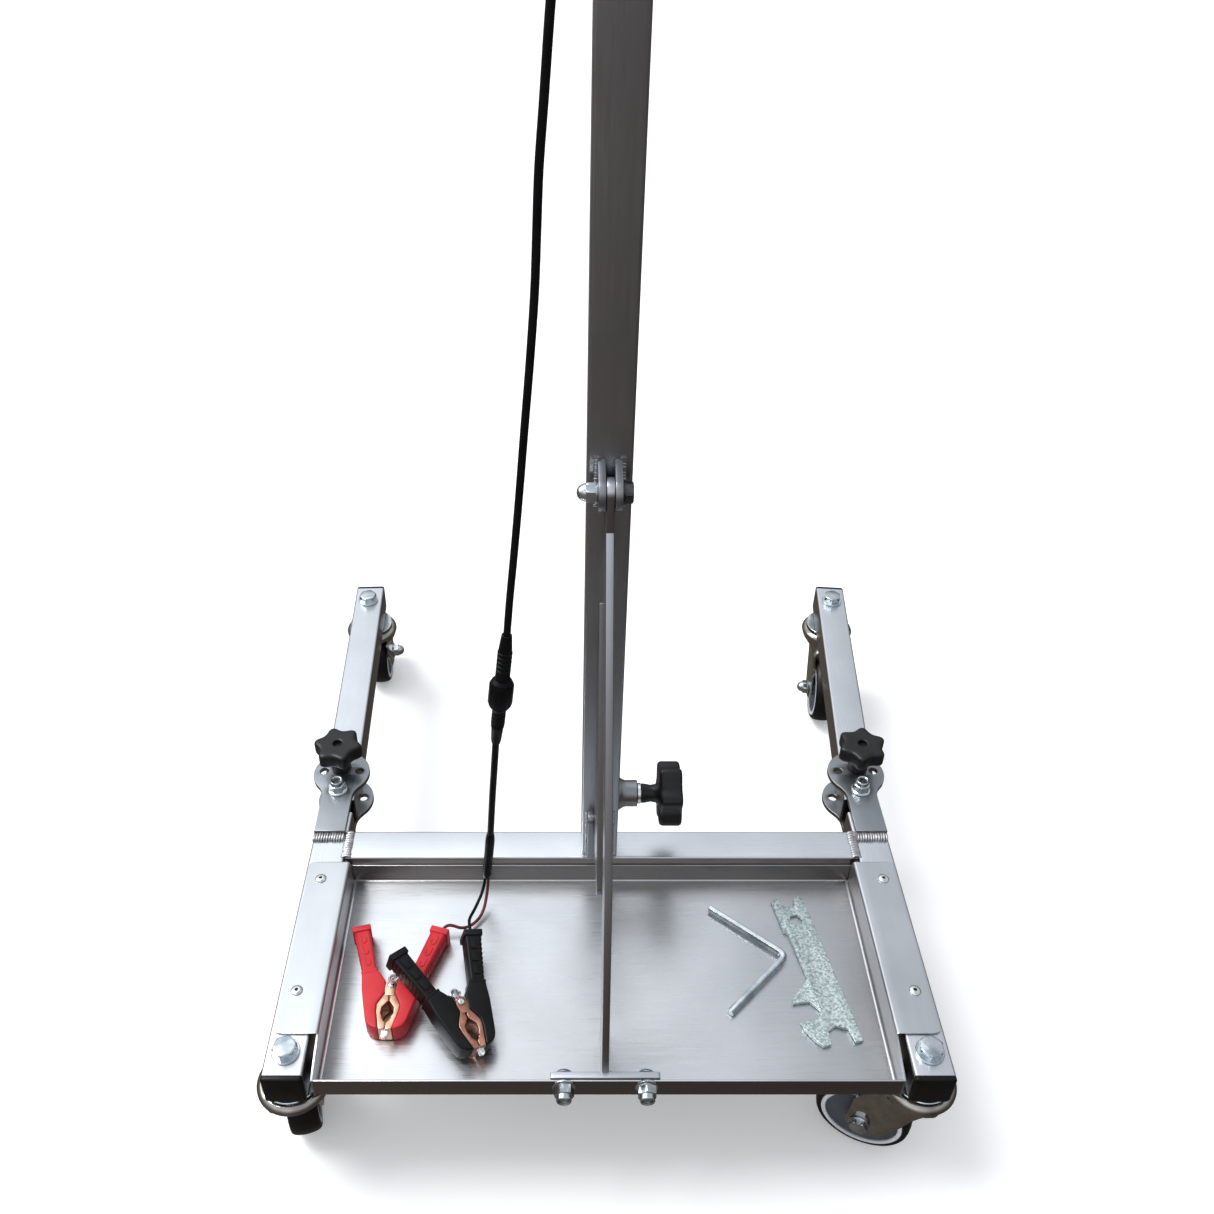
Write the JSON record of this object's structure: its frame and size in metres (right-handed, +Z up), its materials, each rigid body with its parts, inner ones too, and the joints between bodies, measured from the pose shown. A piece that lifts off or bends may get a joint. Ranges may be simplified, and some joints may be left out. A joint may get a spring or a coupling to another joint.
{
  "type": "rolling lamp stand base",
  "caption": "Low rolling stand of square steel tube with a shallow tray, a braced upright mast, folding rear legs on swivel casters, and a battery lead with clips in the tray.",
  "frame": {"origin": "centre of the footprint, on the floor under the wheels", "axes": "+Z up along the mast; +Y from the tray towards the folding rear legs; +X to the right, the side of the mast's clamp knob"},
  "size_m": [0.5648, 0.6408, 0.9123],
  "materials": {
    "tube": "satin, nearly white in the light",
    "mast": "satin, darker grey",
    "black_plastic": "fine grain",
    "knob": "moulded, slightly glossy",
    "plate": "satin with weld heat tint",
    "brace": "satin",
    "sheet": "fine lengthwise brushing",
    "zinc": "bright zinc plate",
    "chrome": "bright plated pressed steel",
    "tyre": "smooth black rubber",
    "hub": "grey plastic with a pale rim",
    "cable": "flexible black sheath",
    "red_wire": "dark red sheath",
    "red_grip": "soft red sleeve",
    "black_grip": "soft black sleeve",
    "galvanised": "mottled zinc coat"
  },
  "bodies": {
    "base": {"side_tube_left": "tube", "side_tube_right": "tube", "cross_tube": "tube", "mast": "mast", "front_cap_left": "black_plastic", "front_cap_right": "black_plastic", "mast_cap": "black_plastic", "index_plate_left_upper": "plate", "index_plate_left_lower": "plate", "index_plate_right_upper": "plate", "index_plate_right_lower": "plate", "gusset_plate": "plate", "brace_plate": "brace", "tray": "sheet", "tray_side_left": "sheet", "tray_side_right": "sheet", "pivot_bolt_left": "zinc", "pivot_bolt_right": "zinc", "caster_bolt_front_left": "zinc", "caster_bolt_front_right": "zinc", "foot_bolt_left": "zinc", "foot_bolt_right": "zinc", "clevis_bolt": "zinc", "hex_key": "zinc", "cord_gland": "cable", "cord_upper": "cable", "connector": "cable", "cord_lower": "cable", "wire_black": "cable", "wire_red": "red_wire", "clip_red_body": "red_grip", "clip_black_body": "black_grip", "flat_spanner": "galvanised"},
    "leg_left": {"leg_left": "tube", "rear_cap_left": "black_plastic", "caster_bolt_rear_left": "zinc"},
    "leg_right": {"leg_right": "tube", "rear_cap_right": "black_plastic", "caster_bolt_rear_right": "zinc"},
    "knob_left": {"leg_knob_left": "knob"},
    "knob_right": {"leg_knob_right": "knob"},
    "knob_mast": {"mast_knob": "knob"},
    "fork_front_left": {"fork_front_left": "chrome", "axle_front_left": "zinc"},
    "fork_front_right": {"fork_front_right": "chrome", "axle_front_right": "zinc"},
    "fork_rear_left": {"fork_rear_left": "chrome", "axle_rear_left": "zinc"},
    "fork_rear_right": {"fork_rear_right": "chrome", "axle_rear_right": "zinc"},
    "wheel_front_left": {"tyre_front_left": "tyre", "hub_front_left": "hub"},
    "wheel_front_right": {"tyre_front_right": "tyre", "hub_front_right": "hub"},
    "wheel_rear_left": {"tyre_rear_left": "tyre", "hub_rear_left": "hub"},
    "wheel_rear_right": {"tyre_rear_right": "tyre", "hub_rear_right": "hub"},
    "lever_red": {"clip_red_lever": "red_grip"},
    "lever_black": {"clip_black_lever": "black_grip"}
  },
  "joints": [
    {"name": "leg_left_fold", "type": "hinge", "parent": "base", "child": "leg_left", "pos_m": [-0.24371, -0.0356, 0.121], "axis": [0, 0, 1], "range_deg": [-36, 31]},
    {"name": "leg_right_fold", "type": "hinge", "parent": "base", "child": "leg_right", "pos_m": [0.22829, -0.0356, 0.121], "axis": [0, 0, 1], "range_deg": [-28, 39]},
    {"name": "knob_left_turn", "type": "hinge", "parent": "leg_left", "child": "knob_left", "pos_m": [-0.24485, -0.00713, 0.156], "axis": [0, 0, 1], "continuous": true},
    {"name": "knob_right_turn", "type": "hinge", "parent": "leg_right", "child": "knob_right", "pos_m": [0.23098, -0.00723, 0.156], "axis": [0, 0, 1], "continuous": true},
    {"name": "knob_mast_turn", "type": "hinge", "parent": "base", "child": "knob_mast", "pos_m": [0.03729, -0.0916, 0.197], "axis": [1, 0, 0], "continuous": true},
    {"name": "caster_front_left_swivel", "type": "hinge", "parent": "base", "child": "fork_front_left", "pos_m": [-0.24271, -0.2896, 0.097], "axis": [0, 0, 1], "continuous": true},
    {"name": "wheel_front_left_spin", "type": "hinge", "parent": "fork_front_left", "child": "wheel_front_left", "pos_m": [-0.25099, -0.25869, 0.0375], "axis": [-0.9659, -0.2588, 0], "continuous": true},
    {"name": "caster_front_right_swivel", "type": "hinge", "parent": "base", "child": "fork_front_right", "pos_m": [0.22729, -0.2896, 0.097], "axis": [0, 0, 1], "continuous": true},
    {"name": "wheel_front_right_spin", "type": "hinge", "parent": "fork_front_right", "child": "wheel_front_right", "pos_m": [0.19829, -0.27608, 0.0375], "axis": [-0.4226, -0.9063, 0], "continuous": true},
    {"name": "caster_rear_left_swivel", "type": "hinge", "parent": "leg_left", "child": "fork_rear_left", "pos_m": [-0.25521, 0.25067, 0.097], "axis": [0, 0, 1], "continuous": true},
    {"name": "wheel_rear_left_spin", "type": "hinge", "parent": "fork_rear_left", "child": "wheel_rear_left", "pos_m": [-0.25632, 0.28265, 0.0375], "axis": [-0.9994, -0.0349, 0], "continuous": true},
    {"name": "caster_rear_right_swivel", "type": "hinge", "parent": "leg_right", "child": "fork_rear_right", "pos_m": [0.25526, 0.24963, 0.097], "axis": [0, 0, 1], "continuous": true},
    {"name": "wheel_rear_right_spin", "type": "hinge", "parent": "fork_rear_right", "child": "wheel_rear_right", "pos_m": [0.25302, 0.2177, 0.0375], "axis": [0.9976, -0.0698, 0], "continuous": true},
    {"name": "clip_red_open", "type": "hinge", "parent": "base", "child": "lever_red", "pos_m": [-0.17421, -0.2266, 0.1178], "axis": [0, 0, -1], "range_deg": [0, 22], "stiffness_Nm_per_rad": 0.6, "springref_deg": -20.05},
    {"name": "clip_black_open", "type": "hinge", "parent": "base", "child": "lever_black", "pos_m": [-0.11972, -0.24626, 0.12676], "axis": [-0.2688, 0.0768, -0.9601], "range_deg": [0, 22], "stiffness_Nm_per_rad": 0.6, "springref_deg": -20.05}
  ]
}
